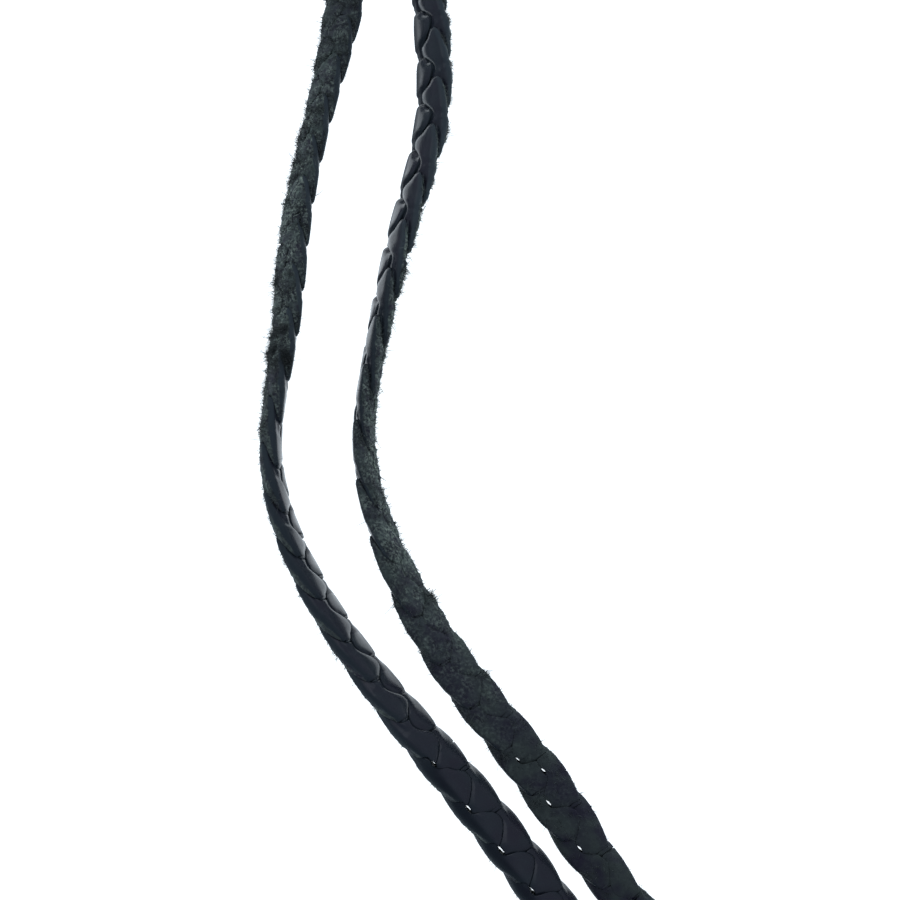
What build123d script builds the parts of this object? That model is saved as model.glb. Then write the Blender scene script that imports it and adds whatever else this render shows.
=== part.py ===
"""A leather cord necklace: one flat braid of three leather laces, closed by a plain barrel clasp.

The necklace lies on the plane z = 0. Y runs along its length and X across it.
"""

from build123d import *
import os

import numpy as np

# Braid, in millimetres
BRAID_WIDTH = 5.0  # across the flat braid
BRAID_THICKNESS = 2.3  # through it
LOBE_LENGTH = 5.3  # along it, from one bulge of an edge to the next

# Clasp, in millimetres
SOCKET_DEPTH = 8.5
SOCKET_CLEARANCE = 0.2  # all round, between the braid and its socket
SOCKET_CORNER = 0.8
END_CLEARANCE = 0.4  # between a lace's end and the bottom of its socket
CLASP_WALL = 1.0  # outside the socket, at the braid's edges
CLASP_MIDDLE = 3.0  # solid metal between the two sockets
CLASP_RIM = 0.6  # rounding of the two mouths' outer edges
CLASP_X = -9.0
CLASP_Y = 106.0
RISE_RUN = 24.0  # length of braid that climbs from the surface to the clasp's axis

CLASP_RADIUS = BRAID_WIDTH / 2 + SOCKET_CLEARANCE + CLASP_WALL
CLASP_LENGTH = 2 * SOCKET_DEPTH + CLASP_MIDDLE

# The braid's middle line, from the clasp's left mouth round the loop to its right mouth.
# lean turns the flat braid about that line: 0 stands on edge, +90 lies with the top edge
# outward. tightness is how many lobes there are in the length of one plain lobe.
ROUTE = [
    # x, y, lean, tightness
    (-30.6, 102.6, 0, 1.08),
    (-37.4, 92.6, 0, 1.08),
    (-39.6, 80.6, 0, 1.08),
    (-36.2, 68.8, -8, 1.08),
    (-29.0, 58.8, -20, 1.08),
    (-20.6, 50.0, -36, 1.08),
    (-15.0, 40.4, -50, 1.08),
    (-13.8, 31.5, -58, 1.08),
    (-16.3, 18.0, -33, 1.08),
    (-18.7, 4.5, -33, 1.06),
    (-19.7, -8.6, -26, 1.05),
    (-20.8, -20.7, 0, 1.06),
    (-17.6, -32.5, 22, 1.07),
    (-10.4, -44.0, 38, 1.08),
    (-1.3, -55.0, 64, 1.08),
    (7.2, -65.9, 67, 1.08),
    (13.4, -75.8, 54, 1.07),
    (17.6, -86.4, 32, 1.06),
    (19.5, -96.8, 12, 1.05),
    (22.5, -105.5, 0, 1.04),
    (29.6, -108.6, 0, 1.03),
    (36.6, -105.4, 0, 1.02),
    (39.6, -97.4, -10, 1.01),
    (36.0, -87.4, -34, 1.00),
    (29.8, -80.0, -58, 0.99),
    (22.6, -73.0, -72, 0.97),
    (14.8, -65.9, -78, 0.96),
    (7.3, -55.0, -78, 0.94),
    (-1.3, -43.9, -68, 0.93),
    (-7.8, -32.5, -33, 0.93),
    (-11.0, -20.7, -8, 0.94),
    (-9.8, -8.6, 13, 0.94),
    (-7.0, 4.5, 30, 0.94),
    (-3.9, 18.0, 41, 0.93),
    (-4.3, 31.3, 41, 0.92),
    (-3.2, 41.2, 36, 0.92),
    (2.4, 50.6, 22, 0.92),
    (10.4, 59.0, 10, 0.92),
    (17.6, 68.8, 0, 0.92),
    (21.4, 80.4, 0, 0.92),
    (19.6, 92.6, 0, 0.92),
    (12.6, 102.6, 0, 0.92),
]

# One lace's section, a flattened hexagon, in the plane square to the middle line, while the
# lace goes from the braid's middle to its edge. Widths are shares of BRAID_WIDTH, heights are
# shares of BRAID_THICKNESS. edge_rise is how much higher the outer edge lies than the middle.
CROSSING = [
    # across, lift, half_width, half_thickness, edge_rise
    (0.000, 0.000, 0.280, 0.159, -0.489),
    (0.191, -0.294, 0.237, 0.200, 0.010),
    (0.284, -0.248, 0.216, 0.219, 0.053),
    (0.354, 0.000, 0.146, 0.324, 0.000),
]
FLAT = 0.62  # flat share of a lace's two faces
OUTLINE = [(-1, 0), (-FLAT, 1), (FLAT, 1), (1, 0), (FLAT, -1), (-FLAT, -1)]

LOBES_PER_WEAVE = 3  # a lace is back at the same edge after three lobes
FIRST_SECTION = 10  # the weave's section at the end in the clasp's left socket
REST_POWER = 1.28  # 1 is a box's rest height, 2 an ellipse's
SAMPLES = 60  # between two points of the route


def weave_sections():
    """The sections of one full weave: out to one edge, back under, then the same mirrored."""
    back = [(a, -lift, w, t, -rise) for a, lift, w, t, rise in CROSSING[2:0:-1]]
    one_side = CROSSING + back
    other_side = [(-a, lift, w, t, -rise) for a, lift, w, t, rise in one_side]
    return np.array(one_side + other_side)


def smooth_curve(points, end_slopes):
    """Cubic spline through the rows of points: h00 p + h10 m + h01 q + h11 n on each span.

    The slopes m solve m[i-1] + 4 m[i] + m[i+1] = 3 (p[i+1] - p[i-1]), with both ends given.
    """
    count = len(points)
    system = 4 * np.eye(count) + np.eye(count, k=1) + np.eye(count, k=-1)
    system[0] = np.eye(count)[0]
    system[-1] = np.eye(count)[-1]
    target = np.zeros_like(points)
    target[1:-1] = 3 * (points[2:] - points[:-2])
    target[0], target[-1] = end_slopes
    slopes = np.linalg.solve(system, target)
    u = np.linspace(0, 1, SAMPLES, endpoint=False)[:, None]
    spans = [
        (2 * u**3 - 3 * u**2 + 1) * points[i]
        + (u**3 - 2 * u**2 + u) * slopes[i]
        + (3 * u**2 - 2 * u**3) * points[i + 1]
        + (u**3 - u**2) * slopes[i + 1]
        for i in range(count - 1)
    ]
    return np.vstack(spans + [points[-1:]])


def rest_height(lean):
    """Height of the braid's middle line when its rounded section rests on the surface."""
    upright = BRAID_WIDTH / 2 * np.abs(np.cos(lean))
    flat = BRAID_THICKNESS / 2 * np.abs(np.sin(lean))
    return (upright**REST_POWER + flat**REST_POWER) ** (1 / REST_POWER)


def braid_stations():
    """Middle line at each section of the weave: place, forward direction and lean."""
    half = CLASP_LENGTH / 2
    left_mouth = (CLASP_X - half, CLASP_Y, 0, ROUTE[0][3])
    right_mouth = (CLASP_X + half, CLASP_Y, 0, ROUTE[-1][3])
    points = np.array([left_mouth, *ROUTE, right_mouth], dtype=float)
    first_run = np.hypot(*(points[1] - points[0])[:2])
    last_run = np.hypot(*(points[-1] - points[-2])[:2])
    curve = smooth_curve(points, [(-first_run, 0, 0, 0), (-last_run, 0, 0, 0)])

    tail = np.array([SOCKET_DEPTH - END_CLEARANCE, 0, 0, 0])
    curve = np.vstack([curve[0] + tail, curve, curve[-1] - tail])
    steps = np.hypot(*np.diff(curve[:, :2], axis=0).T)
    along = np.concatenate([[0], np.cumsum(steps)])
    lobes = np.concatenate([[0], np.cumsum(steps * (curve[1:, 3] + curve[:-1, 3]) / 2)]) / LOBE_LENGTH

    per_lobe = len(weave_sections()) / LOBES_PER_WEAVE
    count = int(round(lobes[-1] * per_lobe))
    station = np.interp(np.linspace(0, lobes[-1], count + 1), lobes, along)
    x, y, lean = (np.interp(station, along, curve[:, column]) for column in range(3))
    lean = np.radians(lean)

    direction = np.gradient(curve[:, :2], along, axis=0)
    forward = np.stack([np.interp(station, along, direction[:, column]) for column in (0, 1)], axis=1)
    forward /= np.linalg.norm(forward, axis=1, keepdims=True)

    from_end = np.minimum(station, along[-1] - station) - tail[0]
    climb = np.clip(1 - from_end / RISE_RUN, 0, 1)
    climb = climb**2 * (3 - 2 * climb)
    z = rest_height(lean) + climb * (CLASP_RADIUS - rest_height(lean))
    return np.stack([x, y, z], axis=1), forward, lean, along[-1]


def lace_rings(number):
    """Corners of one lace's sections, one row of six points for each station."""
    middle, forward, lean, _ = braid_stations()
    sections = weave_sections()
    per_lobe = len(sections) // LOBES_PER_WEAVE
    rows = (np.arange(len(middle)) + FIRST_SECTION + number * per_lobe) % len(sections)
    across, lift, half_width, half_thickness, edge_rise = sections[rows].T[:, :, None]
    u, v = np.array(OUTLINE).T
    sideways = BRAID_WIDTH * (across + u * half_width)
    through = BRAID_THICKNESS * (lift + u * edge_rise + v * half_thickness)

    up = np.array([0.0, 0.0, 1.0])
    outward = np.stack([forward[:, 1], -forward[:, 0], np.zeros(len(forward))], axis=1)
    cos, sin = np.cos(lean)[:, None], np.sin(lean)[:, None]
    width_axis = cos * up + sin * outward
    face_axis = sin * up - cos * outward
    return (
        middle[:, None]
        + sideways[:, :, None] * width_axis[:, None]
        + through[:, :, None] * face_axis[:, None]
    )


def folded_side(near, near_next, far_next, far):
    """The two triangles of a twisted four-cornered side, split where the side folds inward."""
    volume = np.dot(np.cross(near_next - near, far_next - near), far - near)
    if volume > 0:
        return [(near, near_next, far_next), (near, far_next, far)]
    return [(near, near_next, far), (near_next, far_next, far)]


def faceted_solid(rings):
    """Closed solid over a row of rings: two triangles for each side, and a flat face at each end."""
    outlines = [rings[0], rings[-1]]
    for near, far in zip(rings[:-1], rings[1:]):
        for side, following in zip(range(len(near)), [*range(1, len(near)), 0]):
            outlines += folded_side(near[side], near[following], far[following], far[side])
    faces = [Face(Wire.make_polygon([tuple(map(float, corner)) for corner in o])) for o in outlines]
    return Solid(Shell(faces))


os.makedirs("parts", exist_ok=True)

# The three laces of the braid
for number, name in enumerate(["lace_one", "lace_two", "lace_three"]):
    with BuildPart() as lace:
        add(faceted_solid(lace_rings(number)))
    lace.part.label = name
    export_step(lace.part, f"parts/{name}.step")

# The clasp: a plain round barrel with a blind socket for the braid in each end
with BuildPart() as clasp:
    with BuildSketch(Plane.YZ.offset(CLASP_X)):
        with Locations((CLASP_Y, CLASP_RADIUS)):
            Circle(CLASP_RADIUS)
    extrude(amount=CLASP_LENGTH / 2, both=True)
    fillet(clasp.edges().filter_by(GeomType.CIRCLE), CLASP_RIM)
    left_mouth = Plane.YZ.offset(CLASP_X - CLASP_LENGTH / 2)
    right_bottom = Plane.YZ.offset(CLASP_X + CLASP_LENGTH / 2 - SOCKET_DEPTH)
    with BuildSketch(left_mouth, right_bottom):
        with Locations((CLASP_Y, CLASP_RADIUS)):
            RectangleRounded(
                BRAID_THICKNESS + 2 * SOCKET_CLEARANCE,
                BRAID_WIDTH + 2 * SOCKET_CLEARANCE,
                SOCKET_CORNER,
            )
    extrude(amount=SOCKET_DEPTH, mode=Mode.SUBTRACT)
clasp.part.label = "clasp"
export_step(clasp.part, "parts/clasp.step")

stations, _, _, braid_length = braid_stations()
print(f"braid {braid_length:.1f} mm from end to end, {len(stations)} sections")
print(f"faces of the laces: {3 * (12 * (len(stations) - 1) + 2)}")
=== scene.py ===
# %% [markdown]
# # A leather cord necklace on a light table
# The necklace is one flat braid of three leather laces, about 5 mm wide, closed by a plain barrel
# clasp. Each lace has a smooth grain side, blue-black with a soft shine, and a napped flesh side,
# green-grey and fuzzy. The CAD model gives its place and its size; this file gives it its looks.
# The solids could simply be painted, but a braid is known by its rounded leaves, its dark
# crevices and its loose fibres, so each lace is worked out again as a finer surface.

# %% Load the frame
import math

import bmesh
import bpy
import numpy as np
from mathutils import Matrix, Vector


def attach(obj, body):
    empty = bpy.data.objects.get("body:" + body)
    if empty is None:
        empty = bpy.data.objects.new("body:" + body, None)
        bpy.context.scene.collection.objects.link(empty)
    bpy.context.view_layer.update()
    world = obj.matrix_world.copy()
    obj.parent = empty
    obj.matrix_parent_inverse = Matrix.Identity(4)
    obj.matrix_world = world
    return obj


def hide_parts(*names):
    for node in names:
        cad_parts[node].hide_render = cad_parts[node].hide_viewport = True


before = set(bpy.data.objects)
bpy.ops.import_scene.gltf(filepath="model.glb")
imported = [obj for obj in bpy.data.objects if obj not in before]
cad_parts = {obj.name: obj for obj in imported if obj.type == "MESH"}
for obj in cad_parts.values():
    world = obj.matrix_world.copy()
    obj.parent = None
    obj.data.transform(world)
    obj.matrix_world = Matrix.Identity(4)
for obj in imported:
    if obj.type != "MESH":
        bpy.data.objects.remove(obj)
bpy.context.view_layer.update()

MM = 0.001  # the tables below are in millimetres, and Blender works in metres

# %% [markdown]
# ## Camera
# The photograph looks down on the braid from above, a little from the front, through a long lens,
# so that the strands hardly get smaller towards the back. A camera could be aimed by eye, but it
# was worked out from the braid's own width and bends: 81 mm, 15 degrees from straight down.

# %% Camera
CAMERA_TARGET = Vector((-0.002, -0.020, 0.0))
CAMERA_TILT = math.radians(15)
CAMERA_DISTANCE = 0.216


def new_object(name, data):
    """Object in the scene that shows a camera's, a lamp's or a mesh's data."""
    thing = bpy.data.objects.new(name, data)
    bpy.context.collection.objects.link(thing)
    return thing


lens = bpy.data.cameras.new("camera")
lens.lens = 81.2
lens.sensor_width = 36
lens.clip_start = 0.01
camera = new_object("camera", lens)
backwards = Vector((0, -math.sin(CAMERA_TILT), math.cos(CAMERA_TILT)))
camera.location = CAMERA_TARGET + CAMERA_DISTANCE * backwards
camera.rotation_euler = (CAMERA_TILT, 0, 0)
bpy.context.scene.camera = camera
print("camera at", camera.location)

# %% [markdown]
# ## Light table and studio light
# The real braid lies on a lit white surface: no shadow shows, the pinholes between the laces read
# white, and the rounded edges catch the glow from below. A white floor under strong lamps would
# show shadows, so the floor itself glows. A pale world and a wide soft lamp light the top.

# %% Light table
FLOOR_GLOW = 1.22
FLOOR_HALF = 1.5  # m from its middle to its border
FLOOR_HEIGHT = -0.0001  # m, just below the necklace


def new_material(name):
    """Material, its node tree and its Principled shader."""
    material = bpy.data.materials.new(name)
    material.use_nodes = True
    return material, material.node_tree, material.node_tree.nodes["Principled BSDF"]


def feed(socket, value):
    """Sets a node's input to a value, or links it to another node's output."""
    if isinstance(value, bpy.types.NodeSocket):
        socket.id_data.links.new(value, socket)
    else:
        socket.default_value = value


def set_inputs(node, **values):
    """Feeds a node's inputs by their names, with an underscore for each space."""
    for key, value in values.items():
        feed(node.inputs[key.replace("_", " ")], value)


floor_mesh = bpy.data.meshes.new("light_table")
corners = [(-1, -1), (1, -1), (1, 1), (-1, 1)]
floor_points = [(FLOOR_HALF * x, FLOOR_HALF * y, FLOOR_HEIGHT) for x, y in corners]
floor_mesh.from_pydata(floor_points, [], [(0, 1, 2, 3)])
floor = new_object("light_table", floor_mesh)
glow, _, panel = new_material("glowing_panel")
set_inputs(panel, Base_Color=(0.8, 0.8, 0.8, 1), Roughness=0.9, Specular_IOR_Level=0.0)
set_inputs(panel, Emission_Color=(0.89, 0.96, 1.0, 1), Emission_Strength=FLOOR_GLOW)
floor_mesh.materials.append(glow)
print("light table glows at", FLOOR_GLOW)

# %% [markdown]
# ## Room and lamp
# The smooth leather mirrors the room as soft lilac shine, and its upper faces stay dark. A picture
# of a studio could light it. A sky of two tones, paler near the horizon than overhead, does the
# same with a few numbers, and one wide soft box behind the necklace gives the upper edges their
# light. The helpers for its nodes come first, because the materials use them too. Most of them
# work in the node tree that their first socket belongs to.


# %% Nodes, mixes and ranges
def add_node(tree, kind, **values):
    """New node; keywords set its own properties, or its inputs where it has no such property."""
    node = tree.nodes.new(kind)
    for key, value in values.items():
        if hasattr(node, key):
            setattr(node, key, value)
        else:
            set_inputs(node, **{key: value})
    return node


def mix(data_type, socket_type, share, first, second):
    """Mix of two sockets or values of one type: first + share (second - first)."""
    node = add_node(share.id_data, "ShaderNodeMix", data_type=data_type, Factor=share)
    for name, value in (("A", first), ("B", second)):
        feed(next(s for s in node.inputs if s.name == name and s.type == socket_type), value)
    return next(s for s in node.outputs if s.type == socket_type)


def mix_colours(share, *pair):
    """Colour mix of two sockets or (red, green, blue)."""
    pair = [(*colour, 1) if isinstance(colour, tuple) else colour for colour in pair]
    return mix("RGBA", "RGBA", share, *pair)


def mix_values(share, *pair):
    """Number mix of two sockets or numbers."""
    return mix("FLOAT", "VALUE", share, *pair)


def remap(value, low, high, to_low=0.0, to_high=1.0):
    """Stretches low..high to to_low..to_high, clamped."""
    node = add_node(value.id_data, "ShaderNodeMapRange", Value=value)
    set_inputs(node, From_Min=low, From_Max=high, To_Min=to_low, To_Max=to_high)
    return node.outputs["Result"]


# %% Sky and soft lamp
PALE_WALLS = (0.27, 0.30, 0.36)
DIM_CEILING = (0.14, 0.16, 0.22)
CEILING_FADE = 0.80, 1.00  # upward share of a direction, over which walls turn to ceiling

world = bpy.data.worlds.new("pale_room")
bpy.context.scene.world = world
world.use_nodes = True
sky = world.node_tree
direction = add_node(sky, "ShaderNodeTexCoord").outputs["Generated"]
upward = add_node(sky, "ShaderNodeSeparateXYZ", Vector=direction).outputs["Z"]
two_tones = mix_colours(remap(upward, *CEILING_FADE), PALE_WALLS, DIM_CEILING)
set_inputs(sky.nodes["Background"], Color=two_tones, Strength=1.0)

soft_box = bpy.data.lights.new("soft_box", "AREA")
soft_box.size = 0.60
soft_box.energy = 0.60
soft_box.color = (0.88, 0.92, 1.0)
lamp = new_object("soft_box", soft_box)
lamp.location = (-0.10, 0.35, 0.40)
lamp.rotation_euler = (-lamp.location).to_track_quat("-Z", "Y").to_euler()
bpy.context.scene.view_settings.view_transform = "Standard"
print("lamp at", lamp.location)

# %% [markdown]
# ## The braid's route
# The necklace was dropped on the table, so its flat braid snakes, and it stands on edge where it
# bends. A simulation could drop it again, but never into the photograph's own bends, so its route
# is a short table of chosen points, the same one that the CAD model uses.

# %% Route table
BRAID_WIDTH = 5.0
BRAID_THICKNESS = 2.3
LOBE_LENGTH = 5.3
SOCKET_DEPTH = 8.5
END_CLEARANCE = 0.4
CLASP_X, CLASP_Y = -9.0, 106.0
CLASP_LENGTH = 20.0
CLASP_RADIUS = 3.7
RISE_RUN = 24.0  # over which the braid climbs to the clasp's axis

ROUTE = [
    # x, y, lean, tightness
    (-30.6, 102.6, 0, 1.08),
    (-37.4, 92.6, 0, 1.08),
    (-39.6, 80.6, 0, 1.08),
    (-36.2, 68.8, -8, 1.08),
    (-29.0, 58.8, -20, 1.08),
    (-20.6, 50.0, -36, 1.08),
    (-15.0, 40.4, -50, 1.08),
    (-13.8, 31.5, -58, 1.08),
    (-16.3, 18.0, -33, 1.08),
    (-18.7, 4.5, -33, 1.06),
    (-19.7, -8.6, -26, 1.05),
    (-20.8, -20.7, 0, 1.06),
    (-17.6, -32.5, 22, 1.07),
    (-10.4, -44.0, 38, 1.08),
    (-1.3, -55.0, 64, 1.08),
    (7.2, -65.9, 67, 1.08),
    (13.4, -75.8, 54, 1.07),
    (17.6, -86.4, 32, 1.06),
    (19.5, -96.8, 12, 1.05),
    (22.5, -105.5, 0, 1.04),
    (29.6, -108.6, 0, 1.03),
    (36.6, -105.4, 0, 1.02),
    (39.6, -97.4, -10, 1.01),
    (36.0, -87.4, -34, 1.00),
    (29.8, -80.0, -58, 0.99),
    (22.6, -73.0, -72, 0.97),
    (14.8, -65.9, -78, 0.96),
    (7.3, -55.0, -78, 0.94),
    (-1.3, -43.9, -68, 0.93),
    (-7.8, -32.5, -33, 0.93),
    (-11.0, -20.7, -8, 0.94),
    (-9.8, -8.6, 13, 0.94),
    (-7.0, 4.5, 30, 0.94),
    (-3.9, 18.0, 41, 0.93),
    (-4.3, 31.3, 41, 0.92),
    (-3.2, 41.2, 36, 0.92),
    (2.4, 50.6, 22, 0.92),
    (10.4, 59.0, 10, 0.92),
    (17.6, 68.8, 0, 0.92),
    (21.4, 80.4, 0, 0.92),
    (19.6, 92.6, 0, 0.92),
    (12.6, 102.6, 0, 0.92),
]
print(len(ROUTE), "points on the route")

# %% [markdown]
# ## A smooth line through the points
# Leather bends evenly. A chain of arcs would show kinks, and a Bezier curve would need two handles
# at each point, so a cubic spline runs through the points alone. Place, lean and tightness are
# four columns of the same spline.


# %% Smooth line through the route
def smooth_curve(points, end_slopes, samples=60):
    """Cubic spline through the rows of points: h00 p + h10 m + h01 q + h11 n on each span.

    The slopes m solve m[i-1] + 4 m[i] + m[i+1] = 3 (p[i+1] - p[i-1]), with both ends given.
    """
    count = len(points)
    system = 4 * np.eye(count) + np.eye(count, k=1) + np.eye(count, k=-1)
    system[0], system[-1] = np.eye(count)[0], np.eye(count)[-1]
    target = np.zeros_like(points)
    target[1:-1] = 3 * (points[2:] - points[:-2])
    target[0], target[-1] = end_slopes
    slopes = np.linalg.solve(system, target)[:, None]
    u = np.linspace(0, 1, samples, endpoint=False)[None, :, None]
    p, q, m, n = points[:-1, None], points[1:, None], slopes[:-1], slopes[1:]
    spans = (
        (2 * u**3 - 3 * u**2 + 1) * p
        + (u**3 - 2 * u**2 + u) * m
        + (3 * u**2 - 2 * u**3) * q
        + (u**3 - u**2) * n
    )
    return np.vstack([spans.reshape(-1, points.shape[1]), points[-1:]])


def unit(vectors):
    """Vectors scaled to length 1."""
    return vectors / np.linalg.norm(vectors, axis=-1, keepdims=True)


left_mouth = (CLASP_X - CLASP_LENGTH / 2, CLASP_Y, 0, ROUTE[0][3])
right_mouth = (CLASP_X + CLASP_LENGTH / 2, CLASP_Y, 0, ROUTE[-1][3])
route = np.array([left_mouth, *ROUTE, right_mouth], dtype=float)
first_run = np.hypot(*(route[1] - route[0])[:2])
last_run = np.hypot(*(route[-1] - route[-2])[:2])
line = smooth_curve(route, [(-first_run, 0, 0, 0), (-last_run, 0, 0, 0)])
tail = np.array([SOCKET_DEPTH - END_CLEARANCE, 0, 0, 0])
line = np.vstack([line[0] + tail, line, line[-1] - tail])
line_steps = np.hypot(*np.diff(line[:, :2], axis=0).T)
line_along = np.concatenate([[0], np.cumsum(line_steps)])
tightness = (line[1:, 3] + line[:-1, 3]) / 2
line_lobes = np.concatenate([[0], np.cumsum(line_steps * tightness)]) / LOBE_LENGTH
print(f"braid {line_along[-1]:.1f} mm, {line_lobes[-1]:.1f} lobes")

# %% [markdown]
# ## Where the sections go
# A finer mesh is only worth its triangles where the camera comes near, so the sections stand
# close in the photographed stretches and wider apart round the rest of the loop.

# %% Stations along the braid
FINE_STEP = 0.135  # mm from section to section in the photographed stretches
COARSE_STEP = 0.50  # the same elsewhere
VIEW_MIDDLE = -17  # mm, the y of the middle of those stretches
VIEW_HALF = 56  # mm from there to where the coarse sections start
VIEW_FADE = 4  # mm over which the fine ones take over
REST_POWER = 1.28  # of the curve of the braid's height at rest, from on edge to lying flat

in_view = np.clip((VIEW_HALF - np.abs(line[:, 1] - VIEW_MIDDLE)) / VIEW_FADE, 0, 1)
spacing = COARSE_STEP + (FINE_STEP - COARSE_STEP) * in_view
ring_number = np.concatenate([[0], np.cumsum(line_steps / ((spacing[1:] + spacing[:-1]) / 2))])
RINGS = int(ring_number[-1])
along = np.interp(np.linspace(0, ring_number[-1], RINGS), ring_number, line_along)
centre_x, centre_y, lean = (np.interp(along, line_along, line[:, k]) for k in range(3))
lean = np.radians(lean)
lobes = np.interp(along, line_along, line_lobes)
detail = np.interp(along, line_along, in_view)

line_direction = np.gradient(line[:, :2], line_along, axis=0)
forward = [np.interp(along, line_along, line_direction[:, k]) for k in (0, 1)]
forward = unit(np.column_stack(forward))


def smoothstep(low, high, value):
    """0 below low, 1 above high, 3t^2 - 2t^3 between them."""
    t = np.clip((value - low) / (high - low), 0, 1)
    return t * t * (3 - 2 * t)


from_end = np.minimum(along, along[-1] - along) - tail[0]
climb = smoothstep(0, 1, 1 - from_end / RISE_RUN)
upright = BRAID_WIDTH / 2 * np.abs(np.cos(lean))
flat = BRAID_THICKNESS / 2 * np.abs(np.sin(lean))
resting = (upright**REST_POWER + flat**REST_POWER) ** (1 / REST_POWER)
centre = np.column_stack([centre_x, centre_y, resting + climb * (CLASP_RADIUS - resting)])
outward = np.column_stack([forward[:, 1], -forward[:, 0], 0 * along])
straight_up = np.array([0.0, 0.0, 1.0])
width_axis = np.cos(lean)[:, None] * straight_up + np.sin(lean)[:, None] * outward
face_axis = np.sin(lean)[:, None] * straight_up - np.cos(lean)[:, None] * outward
travel = np.column_stack([forward, 0 * along])
print(RINGS, "sections")

# %% [markdown]
# ## How a lace moves through the weave
# In a flat braid of three, every lace does the same dance: over the middle, out to one edge,
# round it, back under the middle and out to the other edge. The CAD model holds twelve sections
# of that dance. Waves through those twelve rows give every section between them, so the leaves
# come out rounded, where straight lines between the rows would leave facets.

# %% The weave as waves
CROSSING = [
    # across, lift, half_width, half_thickness, edge_rise
    (0.000, 0.000, 0.320, 0.270, -0.260),
    (0.155, -0.215, 0.335, 0.290, -0.060),
    (0.250, -0.120, 0.250, 0.370, -0.020),
    (0.325, 0.000, 0.175, 0.440, 0.000),
]
back = [(a, -lift, w, t, -rise) for a, lift, w, t, rise in CROSSING[2:0:-1]]
one_side = CROSSING + back
other_side = [(-a, lift, w, t, -rise) for a, lift, w, t, rise in one_side]
SECTIONS_PER_DANCE = 12
SECTIONS_PER_LOBE = 4
FIRST_SECTION = 10.4  # where in the dance the first lace starts
waves = np.fft.rfft(np.array(one_side + other_side), axis=0) / SECTIONS_PER_DANCE
waves[1:-1] *= 2
print("waves:", waves.shape)

# %% [markdown]
# ## An uneven plait
# A hand-made plait runs a little ahead of an even pitch here and behind it there, and it is
# narrower where it was pulled tight. Noise alone would put that in the wrong places, so two short
# tables follow the notches in the photograph's outline, and slow random waves add the rest.

# %% Uneven pitch and width
SLIP = [
    # mm along the braid, sections that the real plait is ahead there
    (150, 0.25), (190, 0.0), (199, -0.33), (204, -0.45), (209, -0.35), (335, -0.77),
    (350, -0.05), (362, -0.40), (378, -1.35), (390, -1.15), (410, -1.43),
]
SWELL = [
    # mm along the braid, how wide it is there beside its usual width
    (300, 1.00), (315, 0.80), (319, 0.90), (323, 1.00), (327, 1.09), (332, 1.07), (337, 1.00),
]
UNEVEN = [
    # size and first seed of the random drift of each value of a section
    (0.030, 10), (0.050, 20), (0.035, 30), (0.050, 40), (0.020, 50),
]


def table_along(table):
    """Second column of a table at every station, with straight lines between its rows."""
    return np.interp(along, *np.array(table).T)


swell = table_along(SWELL)
sections_in_all = round(line_lobes[-1] * SECTIONS_PER_LOBE)
section_number = lobes / line_lobes[-1] * sections_in_all + FIRST_SECTION + table_along(SLIP)


def weave(turn):
    """Section at an angle of the dance: the sum of waves[k] times exp(i k turn), real part."""
    return (np.exp(1j * np.outer(turn, np.arange(len(waves)))) @ waves).real


def drift(size, seed, count=9, slowest=0.12, fastest=0.75):
    """Slow unevenness along a lace: sine waves of random pitch (per lobe) and start."""
    rng = np.random.default_rng(seed)
    pitch = rng.uniform(slowest, fastest, count)
    start = rng.uniform(0, 2 * np.pi, count)
    waving = np.sin(2 * np.pi * np.outer(lobes, pitch) + start)
    return size * np.sqrt(2 / count) * waving.sum(axis=1)


def lace_shape(number):
    """Centre and half sizes of one lace's section, in mm, one column for each station."""
    turn = 2 * np.pi * (section_number + SECTIONS_PER_LOBE * number) / SECTIONS_PER_DANCE
    across, lift, half_width, half_thickness, rise = weave(turn).T
    more = [drift(size, seed + number) for size, seed in UNEVEN]
    across = BRAID_WIDTH * swell * across * (1 + more[0])
    lift = BRAID_THICKNESS * lift * (1 + more[1])
    half_width = BRAID_WIDTH * swell * half_width * (1 + more[2])
    half_thickness = BRAID_THICKNESS * half_thickness * (1 + more[3])
    rise = BRAID_THICKNESS * (rise + more[4])
    return [v[:, None] for v in (across, lift, half_width, half_thickness, rise)]


shapes = [lace_shape(number) for number in range(3)]
print("stations and values of a lace:", shapes[0][0].shape, len(shapes[0]))

# %% [markdown]
# ## One lace as a surface
# A lace is a strip about 3 mm by 1 mm with rounded edges. Its surface is a grid: one direction
# runs along the braid, the other round the strip. The strip's section is a superellipse, which
# is flatter on its faces than an ellipse and softer at its corners than a box. It is walked by
# rays from its middle, at even steps of its outline.

# %% Section of a strip
RAYS = 72
FINER = 4  # times as many rays once they are cut
FINE_RAYS = FINER * RAYS
SECTION_POWER = 2.5
TYPICAL_HALVES = 1.35, 0.60  # mm, half width and half thickness of a strip

fine_angle = np.linspace(0, 2 * np.pi, 4001)
circle = np.cos(fine_angle), np.sin(fine_angle)
fine_u, fine_v = (np.sign(c) * np.abs(c) ** (2 / SECTION_POWER) for c in circle)
outline_steps = np.hypot(TYPICAL_HALVES[0] * np.diff(fine_u), TYPICAL_HALVES[1] * np.diff(fine_v))
walked = np.concatenate([[0], np.cumsum(outline_steps)])
even = np.linspace(0, walked[-1], FINE_RAYS, endpoint=False)
ray_u = np.interp(even, walked, fine_u)
ray_v = np.interp(even, walked, fine_v)
print(f"a strip is {walked[-1]:.1f} mm round")

# %% [markdown]
# ## Pinholes
# Where three laces meet, a loose plait leaves a gap, and the light table shines through it. A
# bright dot could be painted on, but it would shine in any light, so each of the ten that show
# well is a real opening: an oval well towards the camera, which the laces draw back from.

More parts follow.
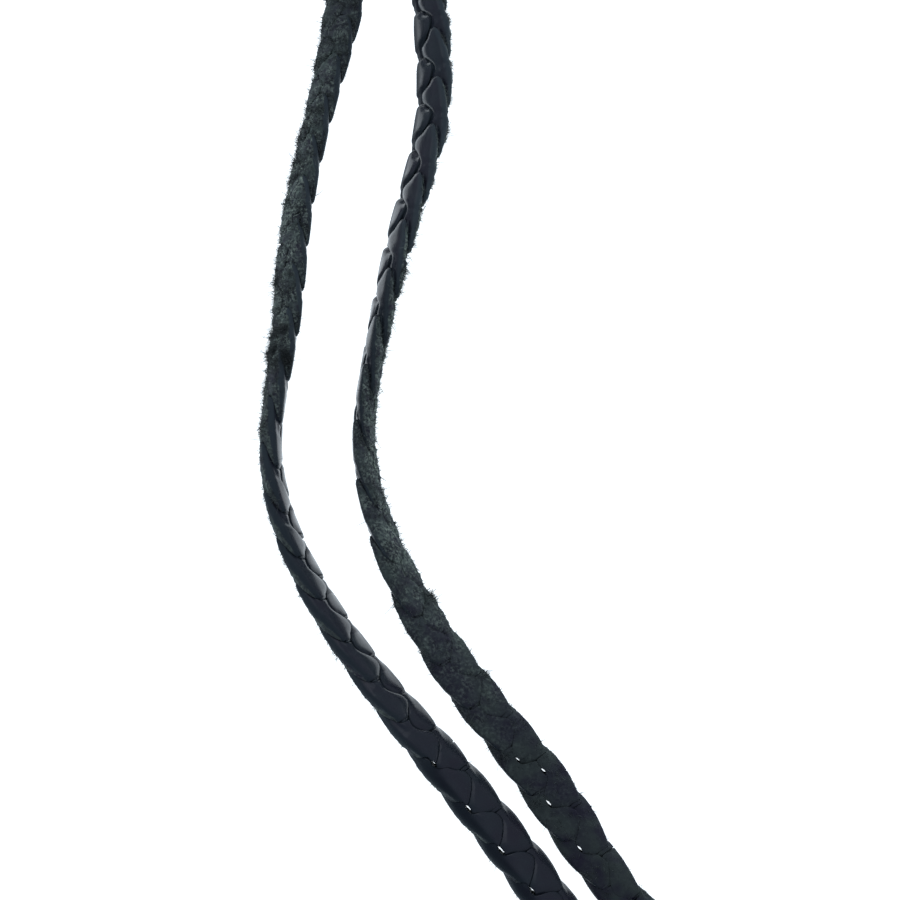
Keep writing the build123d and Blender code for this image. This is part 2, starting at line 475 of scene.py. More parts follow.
# %% Pinholes
PINHOLES = [
    # mm along the braid, mm across, half width, half length
    (192.25, 0.82, 0.20, 0.46),
    (197.92, 0.98, 0.20, 0.50),
    (203.19, 0.98, 0.22, 0.55),
    (208.19, 0.89, 0.20, 0.46),
    (333.96, 0.70, 0.13, 0.34),
    (331.53, -0.76, 0.15, 0.34),
    (328.56, 0.76, 0.15, 0.44),
    (323.16, 0.66, 0.15, 0.38),
    (129.32, 1.05, 0.14, 0.30),
    (133.91, -1.05, 0.14, 0.30),
]
SEAM_REACH, WELL_REACH = 1.6, 1.7  # mm from a pinhole, how far its bent seam and its wall go
SEAM_FADE = 1.5, 0.6  # mm from a pinhole, where the seam starts to bend and has bent
look = backwards[:]  # unit vector towards the camera


def wells(reach):
    """Each pinhole, the stations within reach, and the well's lean, across and along, for 1 mm up."""
    for pinhole in PINHOLES:
        near = np.flatnonzero(np.abs(along - pinhole[0]) < reach)
        middle = near[len(near) // 2]
        upward = face_axis[middle] @ look
        yield pinhole, near, (width_axis[middle] @ look / upward, travel[middle] @ look / upward)


def slant_at_wells(number, room_beside, x, y):
    """Bends the seam between edge lace and middle laces, so that a well can run down it.

    room_beside holds the room to each neighbour. Near a well it turns into the distance in mm
    to the well's middle plane, for the pairs that meet there.
    """
    for (place_along, place_across, *_), near, (lean_across, _) in wells(SEAM_REACH):
        side = np.sign(place_across)
        middle = near[len(near) // 2]
        edge_lace = max(range(3), key=lambda k: side * shapes[k][0][middle, 0])
        share = smoothstep(*SEAM_FADE, np.abs(along[near] - place_along))[:, None, None]
        plane = side * (x[near] - place_across - lean_across * y[near])
        for k in (1, 2):
            if edge_lace in (number, (number + k) % 3):
                away = plane if number == edge_lace else -plane
                room_beside[k - 1][near] += share * (away - room_beside[k - 1][near])


def keep_out_of_wells(room, x, y):
    """Lowers the room to 0 on each well's wall: an oval cylinder, (p/a)^2 + (q/b)^2 = 1."""
    for pinhole, near, (lean_across, lean_along) in wells(WELL_REACH):
        place_along, place_across, half_across, half_along = pinhole
        p = (x[near] - place_across - lean_across * y[near]) / half_across
        q = (along[near, None, None] - place_along - lean_along * y[near]) / half_along
        room[near] = np.minimum(room[near], np.sqrt(p * p + q * q) - 1)


print(len(PINHOLES), "pinholes")

# %% [markdown]
# ## Pressing the strips together
# Three plain strips would run into each other. Soft leather plaited tight is pressed flat where
# two laces meet, and it swells into whatever room is left. Simulating that would take long, so a
# rule does it: every ray from a strip's middle stops where the neighbour is nearer, which leaves
# the thin dark crevice of a real braid, or at the braid's own outside.

# %% Room for each strip
FULLNESS = 1.60  # how far a strip swells into the room that its neighbours leave
SOFTNESS = 8.0  # how sharply it stops at the braid's outside
CREVICE = 0.006  # mm that each lace draws back where two meet
HULL_POWER = 2.4  # of the braid's own section, a superellipse
HULL_ROOM = 0.07, 0.02  # mm that the braid swells, sideways and through
EDGE_DIP = 0.38  # mm by which the braid's edge dips between two leaves
DIP_POWER = 1.5  # narrows the dips, which are as wide as the leaves at 1
EDGE_SLANT = 1.35  # radians of the dance by which a dip lags 1 mm away from the middle
EDGE_TURNS = math.pi / 6, math.pi / 2  # the dance's turn at a dip, on the upper and the lower edge
RAY_SHARES = np.linspace(0.25, 1.75, 28)  # where each ray is tested, 1 on the strip's own outline
NEVER = 3.0  # the share of a ray that meets nothing


def nearness(shape, x, y):
    """1 on a strip's outline and less inside: (|u|^p + |v|^p)^(1/p) in the strip's own axes."""
    across, lift, half_width, half_thickness, rise = (v[..., None] for v in shape)
    u = np.abs(x - across) / half_width
    v = np.abs(y - lift - rise * (x - across) / half_width) / half_thickness
    return (u**SECTION_POWER + v**SECTION_POWER) ** (1 / SECTION_POWER)


def first_crossing(values):
    """Share at which the values first fall below zero, on a straight line between two samples."""
    below = values < 0
    after = np.clip(below.argmax(axis=-1), 1, len(RAY_SHARES) - 1)
    ends = (after - 1, after)
    high, low = (np.take_along_axis(values, end[..., None], -1)[..., 0] for end in ends)
    part = np.clip(high / (high - low), 0, 1)
    share = RAY_SHARES[after - 1] + (RAY_SHARES[after] - RAY_SHARES[after - 1]) * part
    return np.where(below.any(axis=-1), share, NEVER)


def braid_edge(side_turn, y):
    """Half width in mm: W/2 less EDGE_DIP (0.5 + 0.5 cos 3(turn - side - lag))^DIP_POWER."""
    turn = (2 * np.pi * section_number / SECTIONS_PER_DANCE - side_turn)[:, None, None]
    turn = turn - EDGE_SLANT * y * np.abs(y)
    dip = EDGE_DIP * (0.5 + 0.5 * np.cos(3 * turn)) ** DIP_POWER
    return (swell * BRAID_WIDTH / 2 + HULL_ROOM[0])[:, None, None] - dip


print(len(RAY_SHARES), "tests on each ray")

# %% [markdown]
# ## Leaves that overlap like scales
# In the photograph each leaf rolls down at its rim and dives under the next one. Pressed strips
# alone would meet in one smooth skin, so a lace also sinks near its neighbour: deeply where it
# lies below, and softly where it lies on top. The creases are deep where the braid is bent and
# shallow where it was pulled flat.

# %% Overlap of the leaves
TUCK, TUCK_REACH = 0.24, 0.90  # mm that a leaf sinks where it dives under its neighbour
BROW, BROW_REACH = 0.14, 1.00  # mm that it rolls off where it lies on top
FLESH_TUCK = 0.50  # share of both on the flesh side, where the nap fills the hollows
FLESH_FADE = -0.5, 0.0  # height on a strip, from -1 to 1, over which its flesh side ends
FACE_START = 0.4  # mm from the braid's middle plane to where a point is on one face alone
TOP_FADE = 0.35  # mm that a leaf has to be higher than its neighbour to lie on top of it
RELIEF = [
    # mm along the braid, how deep its creases are there
    (165, 1.00), (190, 0.30), (215, 0.30), (330, 0.50), (360, 1.00), (385, 2.00),
]
relief = table_along(RELIEF)[:, None]


def sinking(number, end_x, end_y, own, ray_length):
    """How far in mm a lace sinks at the ends of its rays, the larger one for two neighbours.

    Below a neighbour that is TUCK exp(-d / reach), and on top of it BROW (1 - d / reach)^2.
    """
    across, lift, half_width, _, rise = shapes[number]
    middle = lift + rise * (end_x - across) / half_width
    off_flesh = smoothstep(*FLESH_FADE, ray_v[::FINER])
    hollow = FLESH_TUCK * relief + (1 - FLESH_TUCK * relief) * off_flesh
    sunk = 0
    for k in (1, 2):
        other = shapes[(number + k) % 3]
        distance = np.clip(nearness(other, end_x[..., None], end_y[..., None])[..., 0] - own, 0, 2)
        other_middle = other[1] + other[4] * (end_x - other[0]) / other[2]
        higher = np.clip(end_y / FACE_START, -1, 1) * (middle - other_middle)
        top = smoothstep(-TOP_FADE, TOP_FADE, higher)
        away = distance * ray_length
        rolled = BROW * np.clip(1 - away / BROW_REACH, 0, 1) ** 2
        depth = (1 - top) * TUCK * np.exp(-away / TUCK_REACH) + top * rolled
        sunk = np.maximum(sunk, hollow * relief * depth)
    return sunk


print("relief from", relief.min(), "to", relief.max())


# %% Where each ray ends
def limits(number):
    """Shares at which each ray meets a neighbour, and at which it meets the braid's outside.

    The outside is a superellipse. Where that cuts a ray at share h, the strip's own share
    FULLNESS is softened to (FULLNESS^-8 + h^-8)^(-1/8), so that no corner stands out of it.
    """
    across, lift, half_width, half_thickness, rise = shapes[number]
    ray_x = ray_u[::FINER] * half_width
    ray_y = ray_u[::FINER] * rise + ray_v[::FINER] * half_thickness
    x = across[..., None] + ray_x[..., None] * RAY_SHARES
    y = lift[..., None] + ray_y[..., None] * RAY_SHARES
    room_beside = [nearness(shapes[(number + k) % 3], x, y) - RAY_SHARES for k in (1, 2)]
    slant_at_wells(number, room_beside, x, y)
    room = np.minimum(*room_beside)
    keep_out_of_wells(room, x, y)
    ray_length = np.hypot(ray_x, ray_y)
    cut = first_crossing(room) - CREVICE / ray_length
    upper_edge, lower_edge = (braid_edge(side_turn, y) for side_turn in EDGE_TURNS)
    beside = np.abs(x) / np.where(x > 0, upper_edge, lower_edge)
    above = np.abs(y) / (BRAID_THICKNESS / 2 + HULL_ROOM[1])
    outside = first_crossing(1 - beside**HULL_POWER - above**HULL_POWER)
    own = (FULLNESS**-SOFTNESS + outside**-SOFTNESS) ** (-1 / SOFTNESS)
    end_x, end_y = across + ray_x * own, lift + ray_y * own
    return cut, own - sinking(number, end_x, end_y, own, ray_length) / ray_length


def between_rays(values):
    """Straight lines between the rays, to FINER times as many."""
    part = (np.arange(FINE_RAYS) % FINER) / FINER
    here = np.repeat(values, FINER, axis=1)
    following = np.repeat(np.roll(values, -1, axis=1), FINER, axis=1)
    return here + (following - here) * part


# %% [markdown]
# ## Points where they are needed
# A pressed outline is straight along a seam and sharp where it leaves one. Even spacing would
# either blunt those corners or waste points on the flats, so the points crowd where it bends.

# %% Points round a section
AROUND = 40
TURN_WEIGHT = 0.8  # mm of outline that a bend of one radian is worth


def gather_points(x, y, *others):
    """AROUND points on each outline, closer together where it bends, and other values there."""
    step_x, step_y = np.roll(x, -1, axis=1) - x, np.roll(y, -1, axis=1) - y
    heading = np.arctan2(step_y, step_x)
    bend = np.abs((heading - np.roll(heading, 1, axis=1) + np.pi) % (2 * np.pi) - np.pi)
    bend = sum(np.roll(bend, k, axis=1) for k in range(-2, 3)) / 5
    worth = np.hypot(step_x, step_y) + TURN_WEIGHT * bend
    reached = np.concatenate([np.zeros((RINGS, 1)), np.cumsum(worth, axis=1)], axis=1)
    reached *= AROUND / reached[:, -1:]
    first = 2 * AROUND * np.arange(RINGS)[:, None]
    wanted = (first + np.arange(AROUND)).ravel()
    known = (first + reached).ravel()
    closed = [np.concatenate([v, v[:, :1]], axis=1).ravel() for v in (x, y, *others)]
    return [np.interp(wanted, known, v).reshape(RINGS, AROUND) for v in closed]


print(AROUND, "points round each section")

# %% [markdown]
# ## Grain side and flesh side
# The strip was cut from a hide, so one face is smooth grain, the other is napped flesh, and the
# cut edges are matte. A picture could carry that, but the laces turn over all along the braid, so
# it is worked out at each point from where the point lies on the strip. The nap is thicker in some
# stretches than in others. Handling has dulled the lower edge in two stretches, and the upper one
# in one stretch and wherever the braid lies flat with its grain side up.

# %% How worn the leather is
WRAP = [
    # mm along the braid, how far the nap comes round the edge there
    (335, 0.0), (350, 0.5), (368, 0.6), (388, 0.3), (400, 0.0),
]
FUZZ = [
    # mm along the braid, how napped its flesh side is there
    (92, 0.35), (108, 0.55), (120, 0.9), (140, 0.9), (152, 0.6), (162, 0.3), (175, 0.2),
    (320, 0.04), (335, 0.12), (345, 0.30), (360, 0.7), (400, 0.9), (440, 0.7),
]
DULLED = [
    # mm along the braid, how dull its lower edge has worn there
    (152, 0.0), (160, 0.8), (184, 0.8), (196, 0.3), (250, 0.0), (368, 0.0), (380, 1.0),
]
RUBBED = [
    # mm along the braid, how dull its upper edge has worn there
    (360, 0.0), (367, 0.9), (388, 0.9), (394, 0.0),
]
LYING_FLAT = 0.75, 0.90  # sine of the lean, over which the upper edge gets worn
GRAIN_FADE = 0.35, 0.80  # height on a strip, from -1 to 1, over which its grain side starts
EXPOSED_FADE = 0.0, 0.1  # share of a ray free beyond a point, over which it becomes exposed
OPEN_FADE = 0.0, 0.3  # the same, over which it becomes open
LOWER_LEAVES = -1.5, -0.7  # mm across the braid, over which a leaf stops being a lower one
LOWER_EDGE = -1.8, 0.2  # mm across the braid, over which the wear of the lower edge ends
UPPER_EDGE = 0.9, 1.9  # mm across the braid, over which that of the upper edge starts

wrap = table_along(WRAP)[:, None]
fuzz = table_along(FUZZ)
dulled = table_along(DULLED)[:, None]
lies_flat = smoothstep(*LYING_FLAT, np.sin(lean))
rubbed = np.maximum(table_along(RUBBED), lies_flat)[:, None]


def pressed_outline(number):
    """Sideways and through in mm, and how fleshy, grainy, exposed and open each point is."""
    across, lift, half_width, half_thickness, rise = shapes[number]
    cut, own = (between_rays(v) for v in limits(number))
    share = np.minimum(cut, own)
    x = across + ray_u * half_width * share
    y = lift + (ray_u * rise + ray_v * half_thickness) * share
    flesh = 1 - smoothstep(*FLESH_FADE, ray_v - wrap)
    grain = np.broadcast_to(smoothstep(*GRAIN_FADE, ray_v[None]), x.shape)
    exposed, open_ = (smoothstep(*fade, cut - own) for fade in (EXPOSED_FADE, OPEN_FADE))
    return gather_points(x, y, flesh, grain, exposed, open_)


def worn_open(number, sideways, open_):
    """Openness less the wear of the lower and the upper edge."""
    low_leaf = 1 - smoothstep(*LOWER_LEAVES, shapes[number][0])
    low_side = np.maximum(1 - smoothstep(*LOWER_EDGE, sideways), low_leaf)
    return open_ * (1 - dulled * low_side) * (1 - rubbed * smoothstep(*UPPER_EDGE, sideways))


print("nap up to", fuzz.max())

# %% [markdown]
# ## From outlines to a surface in space
# Each outline is set square to the braid's line and turned by its lean. The flesh side then gets
# its nap: forty sine waves in random directions over the strip, which is felt-like enough at this
# size. A displacement modifier could do it, but it would also move the smooth side.

# %% Lace surfaces
NAP = 0.055  # mm of unevenness of the flesh side
LEAST_NAP = 0.3  # share of it where the fuzz table says 0
EDGE_STRETCH = 1.2  # by which the nap's waves are closer together down the edges
FACE_ON = 0.45, 0.80  # cosine to the braid's face, over which a point counts as grain
NAP_SEED, CLUMP_SEED, FIBRE_SEED = 60, 80, 100  # of the first lace


def surface_normals(points):
    """Unit normals of a closed-round grid: the cross product of its two differences."""
    down = np.gradient(points, axis=0)
    round_ = np.roll(points, -1, axis=1) - np.roll(points, 1, axis=1)
    return unit(np.cross(down, round_))


def rough_waves(along_mm, around_mm, size, seed, count=40, longest=2.4, shortest=0.55):
    """Sum of count sine waves in random directions over the strip, wavelengths in mm."""
    rng = np.random.default_rng(seed)
    length = np.exp(rng.uniform(np.log(shortest), np.log(longest), count))
    heading = rng.uniform(0, 2 * np.pi, count)
    start = rng.uniform(0, 2 * np.pi, count)
    total = np.zeros(np.broadcast(along_mm, around_mm).shape)
    for wavelength, way, phase in zip(length, heading, start):
        path = along_mm * np.cos(way) + around_mm * np.sin(way)
        total += np.sin(2 * np.pi * path / wavelength + phase)
    return size * np.sqrt(2 / count) * total


def lace_surface(number):
    """Grid of one lace: middle + sideways * width_axis + through * face_axis, then its nap."""
    sideways, through, flesh, grain, exposed, open_ = pressed_outline(number)
    points = (
        centre[:, None]
        + sideways[..., None] * width_axis[:, None]
        + through[..., None] * face_axis[:, None]
    )
    normal = surface_normals(points)
    if (normal * (points - points.mean(axis=1, keepdims=True))).sum() < 0:
        normal = -normal
    grain = grain * smoothstep(*FACE_ON, (normal * face_axis[:, None]).sum(axis=2))
    nap = rough_waves(along[:, None], EDGE_STRETCH * through + sideways, NAP, NAP_SEED + number)
    much = LEAST_NAP + (1 - LEAST_NAP) * fuzz[:, None]
    points = points + (flesh * exposed * much * nap)[..., None] * normal
    return points, normal, flesh, grain, exposed, worn_open(number, sideways, open_)


laces = [lace_surface(number) for number in range(3)]
lowest = min(points[..., 2].min() for points, *_ in laces)
print(f"lowest point of the laces {lowest:.3f} mm")

# %% [markdown]
# ## Putting a grid into a mesh
# A mesh is three lists: points, the corners of each face, and where each face starts. Writing
# them as whole arrays takes a moment, where adding faces one by one would take minutes.

# %% Mesh from arrays
SHARP_ANGLE = math.radians(50)  # between two faces, from which their edge isn't smoothed


def mesh_from_arrays(name, points, faces, caps=()):
    """Object at the origin from points in mm, faces with equally many corners, and end caps."""
    mesh = bpy.data.meshes.new(name)
    loops = np.concatenate([faces.ravel(), *caps])
    sizes = [faces.shape[1]] * len(faces) + [len(cap) for cap in caps]
    starts = np.concatenate([[0], np.cumsum(sizes)[:-1]])
    mesh.vertices.add(len(points))
    mesh.vertices.foreach_set("co", (points * MM).astype(np.float32).ravel())
    mesh.loops.add(len(loops))
    mesh.loops.foreach_set("vertex_index", loops.astype(np.int32))
    mesh.polygons.add(len(sizes))
    mesh.polygons.foreach_set("loop_start", starts.astype(np.int32))
    mesh.update(calc_edges=True)
    mesh.validate()
    mesh.polygons.foreach_set("use_smooth", np.ones(len(mesh.polygons), dtype=bool))
    mesh.set_sharp_from_angle(angle=SHARP_ANGLE)
    return new_object(name, mesh)


def store_values(piece, **tables):
    """Stores one number for each point under each name, for a material to read."""
    for name, values in tables.items():
        attribute = piece.data.attributes.new(name, "FLOAT", "POINT")
        attribute.data.foreach_set("value", np.ascontiguousarray(values, dtype=np.float32).ravel())


def enclosed_volume(piece):
    """Cubic mm in a closed mesh, above 0 only if its faces point outward."""
    solid = bmesh.new()
    solid.from_mesh(piece.data)
    volume = solid.calc_volume(signed=True) / MM**3
    solid.free()
    return volume


# %% [markdown]
# ## The three laces as meshes
# The grid closes round the strip and is capped at both ends, inside the clasp, so each lace is
# one closed body. What a material has to know of each point goes along as an attribute: a picture
# wrapped round half a metre of lace would need far more data.

# %% The three laces
ring, spoke = np.meshgrid(np.arange(RINGS - 1), np.arange(AROUND), indexing="ij")
following = (spoke + 1) % AROUND
here, there = ring * AROUND, (ring + 1) * AROUND
quads = [here + spoke, there + spoke, there + following, here + following]
lace_faces = np.stack(quads, axis=-1).reshape(-1, 4)
first_cap = np.arange(AROUND)
last_cap = (RINGS - 1) * AROUND + np.arange(AROUND)[::-1]

LACE_WORDS = ["one", "two", "three"]
lace_pieces = []
for number, word in enumerate(LACE_WORDS):
    points, normal, flesh, grain, exposed, open_ = laces[number]
    piece = mesh_from_arrays(
        f"braided_lace_{word}", points.reshape(-1, 3), lace_faces, [first_cap, last_cap]
    )
    store_values(piece, flesh=flesh, grain=grain, open=open_, fuzz=np.repeat(fuzz, AROUND))
    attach(piece, "root")
    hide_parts(f"lace_{word}")
    lace_pieces.append(piece)
    print(piece.name, f"{enclosed_volume(piece):.1f} mm3, {len(piece.data.polygons)} faces")

# %% [markdown]
# ## Building materials from nodes
# Leather and steel are patterns without an end, so their colours come from noise and not from
# pictures. Patterns read Object coordinates, turned into millimetres, so a noise scale of 4 means
# four grains to the millimetre. A few more helpers keep the node trees readable.


# %% More helpers for nodes
def calculate(operation, first, second):
    """Sum, product or the like of two values."""
    node = add_node(first.id_data, "ShaderNodeMath", operation=operation)
    feed(node.inputs[0], first)
    feed(node.inputs[1], second)
    return node.outputs["Value"]


def point_value(tree, name):
    """A mesh attribute, as a number."""
    return add_node(tree, "ShaderNodeAttribute", attribute_name=name).outputs["Fac"]


def millimetres(tree):
    """Object coordinates in millimetres."""
    metres = add_node(tree, "ShaderNodeTexCoord").outputs["Object"]
    scaled = add_node(tree, "ShaderNodeMapping", Vector=metres, Scale=(1 / MM, 1 / MM, 1 / MM))
    return scaled.outputs["Vector"]


def add_bump(shader, height, strength, distance):
    """Bump from a height of 0 to 1, which stands for 0 to distance, in metres."""
    bump = add_node(height.id_data, "ShaderNodeBump", Height=height)
    set_inputs(bump, Strength=strength, Distance=distance)
    set_inputs(shader, Normal=bump.outputs["Normal"])


# %% [markdown]
# ## A shared effect: mottle
# Hide is never one even colour, and neither is worn steel. Both are clouds of one tone in another,
# so one node group makes them all: a noise, cut between a low and a high level. Each use sets its
# own scale and levels.

# %% Mottle
mottle = bpy.data.node_groups.new("mottle", "ShaderNodeTree")
mottle.interface.new_socket("Vector", in_out="INPUT", socket_type="NodeSocketVector")
for key in ("Scale", "Detail", "Low", "High"):
    mottle.interface.new_socket(key, in_out="INPUT", socket_type="NodeSocketFloat")
mottle.interface.new_socket("Value", in_out="OUTPUT", socket_type="NodeSocketFloat")
given = add_node(mottle, "NodeGroupInput").outputs
noise = add_node(mottle, "ShaderNodeTexNoise", Vector=given["Vector"], Roughness=0.6)
set_inputs(noise, Scale=given["Scale"], Detail=given["Detail"])
cut_noise = remap(noise.outputs["Fac"], given["Low"], given["High"])
add_node(mottle, "NodeGroupOutput", Value=cut_noise)


def clouds(vector, scale, detail, low=0.35, high=0.65):
    """The mottle group in a material: 0 to 1, in clouds of about 1/scale mm."""
    node = add_node(vector.id_data, "ShaderNodeGroup", node_tree=mottle)
    set_inputs(node, Vector=vector, Scale=scale, Detail=detail, Low=low, High=high)
    return node.outputs["Value"]


print("group", mottle.name)

# %% [markdown]
# ## Leather: what shows where
# Both sides are the same skin, so one material serves the whole lace and the attributes say which
# side a point is on. The border between grain and nap would be a ruled line, so clouds fray it.
# The nap isn't even either: calm patches, where it was pressed down, lie between rough ones.

# %% Leather masks
leather, tree, shader = new_material("dark_leather")
place = millimetres(tree)
names = "flesh", "grain", "fuzz", "open"
fleshy, grainy, napped, opened = (point_value(tree, name) for name in names)
frayed = remap(clouds(place, 1.4, 3.0, 0.2, 0.8), 0, 1, -0.45, 0.45)
nap_shows = remap(calculate("ADD", fleshy, frayed), 0.35, 0.65)
grain_patch = clouds(place, 0.35, 2.0, 0.30, 0.70)
grain_pebble = clouds(place, 9.0, 2.0, 0.30, 0.70)
nap_patch = clouds(place, 0.26, 2.0, 0.42, 0.58)
nap_blotch = clouds(place, 0.60, 3.0, 0.40, 0.60)
nap_calm = clouds(place, 0.65, 3.0, 0.40, 0.60)
nap_tuft = clouds(place, 3.2, 3.5, 0.43, 0.72)
tufted = calculate("MULTIPLY", nap_shows, napped)
roughed = calculate("MULTIPLY", tufted, remap(nap_calm, 0, 1, 0.10, 1.0))
print("leather has", len(tree.nodes), "nodes for its masks")

# %% [markdown]
# ## Leather: colours
# The grain was dyed blue-black. The dye took less well in the flesh, which is green-grey with pale
# tips on its tufts. Along a crease the smooth side is painted darker, as painted shade where the
# light doesn't reach, and the dulled edges are painted darker in the same way.

# %% Leather colours
grain_colour = mix_colours(grain_patch, (0.021, 0.020, 0.035), (0.021, 0.032, 0.041))
side_colour = mix_colours(napped, (0.026, 0.036, 0.045), (0.068, 0.088, 0.098))
smooth_colour = mix_colours(grainy, side_colour, grain_colour)
# painted shade: the smooth side is mixed towards near-black where a point is less open, in the
# creases and on the dulled edges
painted_shade = remap(opened, 0, 0.7, 0.55, 1.0)
smooth_colour = mix_colours(painted_shade, (0.010, 0.016, 0.021), smooth_colour)
calm_base = mix_colours(nap_patch, (0.031, 0.030, 0.047), (0.054, 0.068, 0.065))
fuzzy_base = mix_colours(nap_blotch, (0.054, 0.054, 0.070), (0.112, 0.148, 0.132))
nap_base = mix_colours(napped, calm_base, fuzzy_base)
nap_rough = mix_colours(nap_tuft, (0.034, 0.040, 0.046), (0.430, 0.520, 0.430))
nap_colour = mix_colours(roughed, nap_base, nap_rough)
set_inputs(shader, Base_Color=mix_colours(nap_shows, smooth_colour, nap_colour))

# %% [markdown]
# ## Leather: shine and relief
# The finish on the grain is a thin clear coat, which a coat layer gives with its own sharper
# gloss, and it has worn off in the creases. The nap has no shine, only a little sheen. Its tufts
# are too small for the mesh, so they are bump, and the grain's pebbles are finer still.

# %% Leather shine and relief
PEBBLE_HEIGHT = 0.06  # of the tufts' height
gloss = calculate("MULTIPLY", grainy, remap(opened, 0, 0.35, 0.0, 0.75))
set_inputs(shader, Coat_Weight=gloss, Coat_Roughness=0.20, Specular_IOR_Level=0.12)
set_inputs(shader, Roughness=mix_values(nap_shows, 0.65, 0.95))
set_inputs(shader, Sheen_Weight=0.08, Sheen_Roughness=0.40, Sheen_Tint=(0.80, 0.92, 1.0, 1))
pebbled = remap(grain_pebble, 0, 1, 0.0, PEBBLE_HEIGHT)
add_bump(shader, mix_values(roughed, pebbled, nap_tuft), strength=0.6, distance=0.00012)
for piece in lace_pieces:
    piece.data.materials.append(leather)
print("leather on", len(lace_pieces), "laces")

# %% [markdown]
# ## Loose fibres
# The flesh side of leather is a felt of fibres. Most lie down and make the nap, and some stand
# out along the edges. Hair particles would do it, but they aren't a mesh, so each fibre here is
# a tiny three-sided spike that bends, and all the fibres of one lace make one piece.

# %% Spikes along bent lines
TAPER = 0.6  # of its radius that a spike has lost when it comes to its tip
ASKEW = np.array([0.31, 0.52, 0.79])  # a direction of no meaning, to start a spike's sides from


def spikes(root, direction, bend, length, radius, rings):
    """Points and faces of bent spikes: root + L (q direction + q^2 bend), radius (1 - TAPER q).

    q runs over rings sections from 0, and the tip is at q = 1.
    """
    count = len(root)
    q = np.arange(rings) / rings
    path = root[:, None] + length[:, None, None] * (
        q[None, :, None] * direction[:, None] + q[None, :, None] ** 2 * bend[:, None]
    )
    tip = root + length[:, None] * (direction + bend)
    tangent = direction[:, None] + 2 * q[None, :, None] * bend[:, None]
    side = unit(np.cross(tangent, ASKEW))
    other = unit(np.cross(tangent, side))
    third = 2 * np.pi / 3 * np.arange(3)
    width = radius[:, None] * (1 - TAPER * q)
    offset = side[:, :, None] * np.cos(third)[:, None] + other[:, :, None] * np.sin(third)[:, None]
    points = path[:, :, None] + width[:, :, None, None] * offset
    points = np.concatenate([points.reshape(count, rings * 3, 3), tip[:, None]], axis=1)
    faces = [(0, 2, 1)]
    for ring in range(rings - 1):
        for corner in range(3):
            a, b = 3 * ring + corner, 3 * ring + (corner + 1) % 3
            faces += [(a, b, b + 3), (a, b + 3, a + 3)]
    top = 3 * (rings - 1)
    faces += [(top + corner, top + (corner + 1) % 3, 3 * rings) for corner in range(3)]
    faces = np.array(faces)[None] + (np.arange(count) * (3 * rings + 1))[:, None, None]
    return points.reshape(-1, 3), faces.reshape(-1, 3)


# %% [markdown]
# ## Where the fibres stand
# Fibres stand out where the nap was never pressed down: thick in two stretches of the photograph,
# and in clumps. Roots are drawn at random, weighted by a table along the braid, by how fleshy and
# exposed a point is, and by slow waves for the clumps. Most are short, and a few are long and curl.

# %% Places for the fibres
HAIRY = [
    # mm along the braid, how many of its fibres stand out there
    (90, 0.4), (115, 0.8), (138, 0.8), (143, 1.4), (149, 1.4), (154, 0.3), (165, 0.06),
    (215, 0.03), (318, 0.12), (345, 0.16), (365, 0.35), (390, 0.45), (410, 0.35), (440, 0.15),
]
hairy = table_along(HAIRY)


def sample_roots(rng, points, normal, count, weight):
    """Random places on a lace's grid, drawn by weight, with the normal and two tangents there."""
    pick = rng.choice(weight.size, count, p=weight.ravel() / weight.sum())
    row, column = np.unravel_index(pick, weight.shape)
    a, b = rng.random((2, count, 1))
    right = (column + 1) % AROUND
    below = np.minimum(row + 1, RINGS - 1)
    root = points[row, column]
    root = root + a * (points[below, column] - root) + b * (points[row, right] - root)
    upward = normal[row, column]
    lengthwise = travel[row]
    return root, upward, lengthwise, unit(np.cross(upward, lengthwise))


print("most hairy at", round(along[hairy.argmax()]), "mm along the braid")

# %% Fibres of each lace
FIBRES = [
    # how many a lace has, rings of points on each, length and radius in mm, curl
    (6500, 2, (0.20, 0.55), (0.020, 0.038), 0.9),
    (400, 5, (0.35, 0.95), (0.024, 0.038), 1.3),
]
STEEPNESS = 0.4, 2.0  # how far a fibre rises for each mm that it runs along the surface
CLUMPING = 0.9  # strength of the clumps
CLUMP_WIDTH = 3.0  # mm round a strip that the step from its edge to its flesh counts as
CLUMP_WAVES = {"count": 30, "longest": 9.0, "shortest": 0.9}
STRAY = 0.01  # weight of the stretches where no fibres stand out
ROOT_DEPTH = 0.03  # mm that a fibre starts below the surface
LOWEST_FIBRE = -0.05  # mm, just above the light table

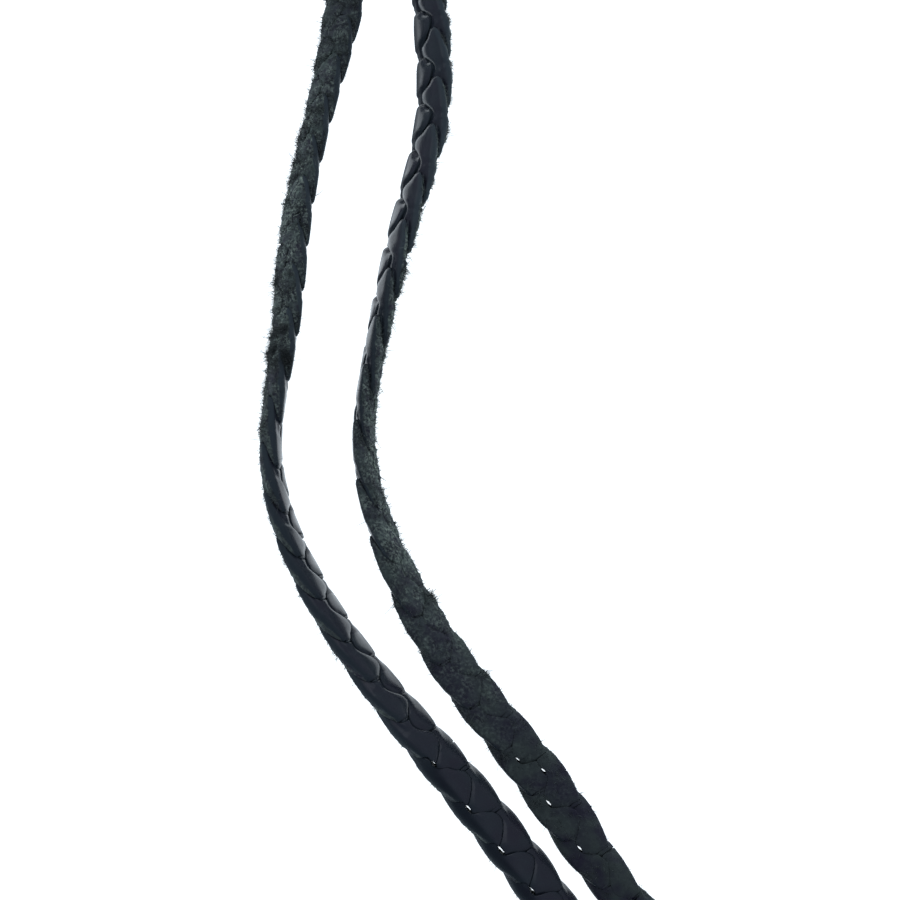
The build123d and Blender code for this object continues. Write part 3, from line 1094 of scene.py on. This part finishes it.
fibre_pieces = []
for number, word in enumerate(LACE_WORDS):
    surface, normal, flesh, _, exposed, _ = laces[number]
    rng = np.random.default_rng(FIBRE_SEED + number)
    clumps = rough_waves(along[:, None], CLUMP_WIDTH * flesh, 1.0, CLUMP_SEED + number, **CLUMP_WAVES)
    weight = np.gradient(along)[:, None] * flesh * exposed
    weight = weight * (STRAY + (1 - STRAY) * detail * hairy)[:, None] * np.exp(CLUMPING * clumps)
    grown = []
    for count, rings, lengths, radii, curl in FIBRES:
        root, upward, lengthwise, crosswise = sample_roots(rng, surface, normal, count, weight)
        turn = rng.uniform(0, 2 * np.pi, (count, 1))
        lying = np.cos(turn) * lengthwise + np.sin(turn) * crosswise
        direction = unit(rng.uniform(*STEEPNESS, (count, 1)) * upward + lying)
        bend = curl * unit(rng.normal(size=(count, 3)))
        length = rng.uniform(*lengths, count)
        radius = rng.uniform(*radii, count)
        grown.append(spikes(root - ROOT_DEPTH * upward, direction, bend, length, radius, rings))
    (short_points, short_faces), (long_points, long_faces) = grown
    points = np.vstack([short_points, long_points])
    points[:, 2] = np.maximum(points[:, 2], LOWEST_FIBRE)
    faces = np.vstack([short_faces, long_faces + len(short_points)])
    piece = mesh_from_arrays(f"fibres_{word}", points, faces)
    shades = [np.repeat(rng.random(count), 3 * rings + 1) for count, rings, *_ in FIBRES]
    store_values(piece, shade=np.concatenate(shades))
    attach(piece, "root")
    fibre_pieces.append(piece)
    print(piece.name, f"{enclosed_volume(piece):.2f} mm3, {len(piece.data.polygons)} faces")

# %% [markdown]
# ## Fibre colour
# A fibre is the same leather, but so thin that it reads as one flat colour. Each has its own
# shade, darker or paler than the nap, or they would merge with it.

# %% Fibre material
fibre, tree, shader = new_material("leather_fibre")
shade = point_value(tree, "shade")
colour = mix_colours(shade, (0.022, 0.030, 0.031), (0.105, 0.125, 0.118))
set_inputs(shader, Base_Color=colour, Roughness=0.85)
for piece in fibre_pieces:
    piece.data.materials.append(fibre)
print("fibres on", len(fibre_pieces), "laces")

# %% [markdown]
# ## Clasp
# The photograph doesn't show what closes the necklace, so the clasp is a plain barrel, turned on
# a lathe, with a satin steel finish and fine lines round it. Its shape is the CAD node's own, which
# needs no finer mesh; only its finish is made here, from clouds stretched into lines.

# %% Clasp finish
steel, tree, shader = new_material("satin_steel")
place = millimetres(tree)
stretch = add_node(tree, "ShaderNodeMapping", Vector=place, Scale=(14, 0.25, 0.25))
lines = clouds(stretch.outputs["Vector"], 1.0, 3.0)
smudge = clouds(place, 0.25, 2.0)
steel_colour = mix_colours(lines, (0.42, 0.43, 0.45), (0.56, 0.57, 0.59))
set_inputs(shader, Base_Color=steel_colour, Metallic=1.0)
set_inputs(shader, Roughness=mix_values(smudge, 0.28, 0.42))
add_bump(shader, lines, strength=0.35, distance=0.00001)
clasp = bpy.data.objects["clasp"]
clasp.data.materials.clear()
clasp.data.materials.append(steel)
print("clasp:", clasp.name, [slot.material.name for slot in clasp.material_slots])
